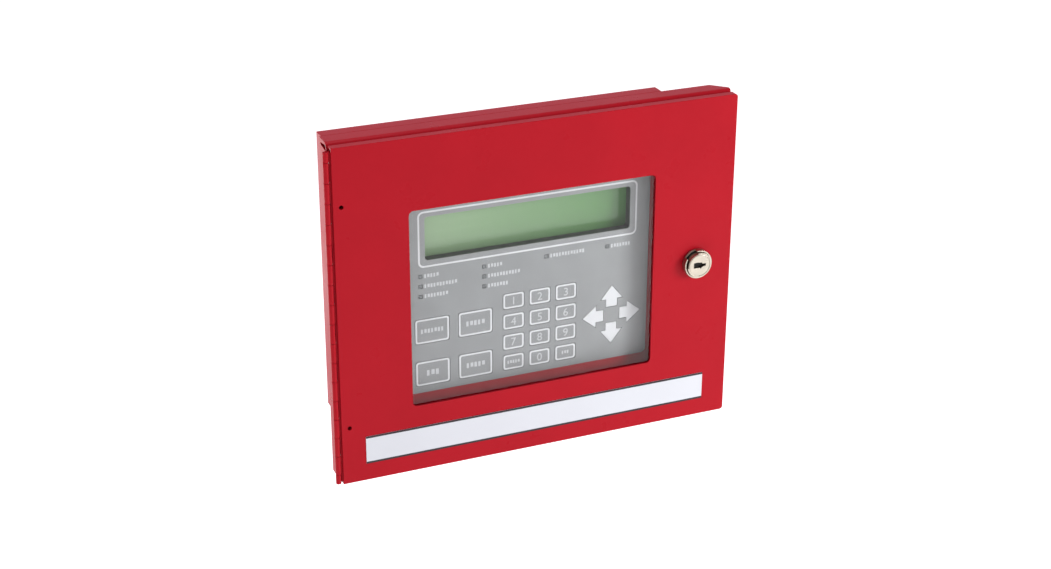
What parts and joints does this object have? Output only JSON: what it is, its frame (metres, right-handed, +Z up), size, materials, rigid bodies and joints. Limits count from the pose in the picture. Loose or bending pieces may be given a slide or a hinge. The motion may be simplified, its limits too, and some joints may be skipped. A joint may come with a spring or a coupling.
{
  "type": "fire alarm control panel",
  "caption": "Wall-mounted fire alarm annunciator: red steel box with a hinged, lockable door, a window, a character display and a membrane keypad.",
  "frame": {"origin": "centre of the rear box's back face, which goes against the wall", "axes": "+Y into the wall, so the door faces -Y; +X to the right seen from the front; +Z up"},
  "size_m": [0.2747, 0.0367, 0.226],
  "materials": {
    "red_powder_coat": "satin powder coat, fine orange peel",
    "nickel": "polished nickel plate",
    "zinc": "zinc plated steel",
    "clear_acrylic": "clear, glossy",
    "grey_membrane": "fine textured polyester film",
    "white_ink": "screen printed film",
    "label_film": "satin label film",
    "black_plastic": "moulded, satin",
    "black_metal": "black oxide, satin",
    "lcd_green": "yellow-green liquid crystal glass",
    "board_green": "solder mask",
    "smoked_lens": "unlit smoked lens",
    "terminal_green": "moulded plastic"
  },
  "bodies": {
    "enclosure": {"front_frame": "red_powder_coat", "rear_box": "red_powder_coat", "hinge_leaf_box": "red_powder_coat", "dead_front_plate": "red_powder_coat", "ground_stud": "zinc", "standoff_1": "zinc", "plate_screw_1": "zinc", "standoff_2": "zinc", "plate_screw_2": "zinc", "standoff_3": "zinc", "plate_screw_3": "zinc", "standoff_4": "zinc", "plate_screw_4": "zinc", "hinge_pin": "red_powder_coat", "sounder": "black_plastic", "cable_bushing": "black_plastic", "keypad_overlay": "grey_membrane", "led_power": "smoked_lens", "led_earth_fault": "smoked_lens", "led_silenced": "smoked_lens", "led_alarm": "smoked_lens", "led_supervisory": "smoked_lens", "led_trouble": "smoked_lens", "led_discharge": "smoked_lens", "led_release": "smoked_lens", "lcd_frame": "black_metal", "lcd_glass": "lcd_green", "lcd_board": "board_green", "main_board": "board_green", "terminal_block": "terminal_green"},
    "door": {"door_panel": "red_powder_coat", "hinge_leaf_door": "red_powder_coat", "window_pane": "clear_acrylic", "window_retainer": "black_plastic", "label_strip": "label_film", "lock_housing": "nickel", "lock_nut": "zinc"},
    "lock_plug": {"lock_plug": "nickel", "lock_cam": "zinc", "cam_screw": "zinc"},
    "key_0": {"key_0": "grey_membrane"},
    "key_1": {"key_1": "grey_membrane"},
    "key_2": {"key_2": "grey_membrane"},
    "key_3": {"key_3": "grey_membrane"},
    "key_4": {"key_4": "grey_membrane"},
    "key_5": {"key_5": "grey_membrane"},
    "key_6": {"key_6": "grey_membrane"},
    "key_7": {"key_7": "grey_membrane"},
    "key_8": {"key_8": "grey_membrane"},
    "key_9": {"key_9": "grey_membrane"},
    "key_enter": {"key_enter": "grey_membrane"},
    "key_escape": {"key_escape": "grey_membrane"},
    "key_silence": {"key_silence": "grey_membrane"},
    "key_reset": {"key_reset": "grey_membrane"},
    "key_acknowledge": {"key_acknowledge": "grey_membrane"},
    "key_drill": {"key_drill": "grey_membrane"},
    "key_up": {"key_up": "white_ink"},
    "key_down": {"key_down": "white_ink"},
    "key_left": {"key_left": "white_ink"},
    "key_right": {"key_right": "white_ink"}
  },
  "joints": [
    {"name": "door_hinge", "type": "hinge", "parent": "enclosure", "child": "door", "pos_m": [-0.11595, -0.0286, -0.022], "axis": [0, 0, -1], "range_deg": [0, 165]},
    {"name": "lock_turn", "type": "hinge", "parent": "door", "child": "lock_plug", "pos_m": [0.13135, -0.0305, -0.0221], "axis": [0, -1, 0], "range_deg": [0, 90]},
    {"name": "press_0", "type": "slide", "parent": "enclosure", "child": "key_0", "axis": [0, 1, 0], "range_m": [0, 0.0004], "stiffness_N_per_m": 2000},
    {"name": "press_1", "type": "slide", "parent": "enclosure", "child": "key_1", "axis": [0, 1, 0], "range_m": [0, 0.0004], "stiffness_N_per_m": 2000},
    {"name": "press_2", "type": "slide", "parent": "enclosure", "child": "key_2", "axis": [0, 1, 0], "range_m": [0, 0.0004], "stiffness_N_per_m": 2000},
    {"name": "press_3", "type": "slide", "parent": "enclosure", "child": "key_3", "axis": [0, 1, 0], "range_m": [0, 0.0004], "stiffness_N_per_m": 2000},
    {"name": "press_4", "type": "slide", "parent": "enclosure", "child": "key_4", "axis": [0, 1, 0], "range_m": [0, 0.0004], "stiffness_N_per_m": 2000},
    {"name": "press_5", "type": "slide", "parent": "enclosure", "child": "key_5", "axis": [0, 1, 0], "range_m": [0, 0.0004], "stiffness_N_per_m": 2000},
    {"name": "press_6", "type": "slide", "parent": "enclosure", "child": "key_6", "axis": [0, 1, 0], "range_m": [0, 0.0004], "stiffness_N_per_m": 2000},
    {"name": "press_7", "type": "slide", "parent": "enclosure", "child": "key_7", "axis": [0, 1, 0], "range_m": [0, 0.0004], "stiffness_N_per_m": 2000},
    {"name": "press_8", "type": "slide", "parent": "enclosure", "child": "key_8", "axis": [0, 1, 0], "range_m": [0, 0.0004], "stiffness_N_per_m": 2000},
    {"name": "press_9", "type": "slide", "parent": "enclosure", "child": "key_9", "axis": [0, 1, 0], "range_m": [0, 0.0004], "stiffness_N_per_m": 2000},
    {"name": "press_enter", "type": "slide", "parent": "enclosure", "child": "key_enter", "axis": [0, 1, 0], "range_m": [0, 0.0004], "stiffness_N_per_m": 2000},
    {"name": "press_escape", "type": "slide", "parent": "enclosure", "child": "key_escape", "axis": [0, 1, 0], "range_m": [0, 0.0004], "stiffness_N_per_m": 2000},
    {"name": "press_silence", "type": "slide", "parent": "enclosure", "child": "key_silence", "axis": [0, 1, 0], "range_m": [0, 0.0004], "stiffness_N_per_m": 2000},
    {"name": "press_reset", "type": "slide", "parent": "enclosure", "child": "key_reset", "axis": [0, 1, 0], "range_m": [0, 0.0004], "stiffness_N_per_m": 2000},
    {"name": "press_acknowledge", "type": "slide", "parent": "enclosure", "child": "key_acknowledge", "axis": [0, 1, 0], "range_m": [0, 0.0004], "stiffness_N_per_m": 2000},
    {"name": "press_drill", "type": "slide", "parent": "enclosure", "child": "key_drill", "axis": [0, 1, 0], "range_m": [0, 0.0004], "stiffness_N_per_m": 2000},
    {"name": "press_up", "type": "slide", "parent": "enclosure", "child": "key_up", "axis": [0, 1, 0], "range_m": [0, 0.0004], "stiffness_N_per_m": 2000},
    {"name": "press_down", "type": "slide", "parent": "enclosure", "child": "key_down", "axis": [0, 1, 0], "range_m": [0, 0.0004], "stiffness_N_per_m": 2000},
    {"name": "press_left", "type": "slide", "parent": "enclosure", "child": "key_left", "axis": [0, 1, 0], "range_m": [0, 0.0004], "stiffness_N_per_m": 2000},
    {"name": "press_right", "type": "slide", "parent": "enclosure", "child": "key_right", "axis": [0, 1, 0], "range_m": [0, 0.0004], "stiffness_N_per_m": 2000}
  ]
}
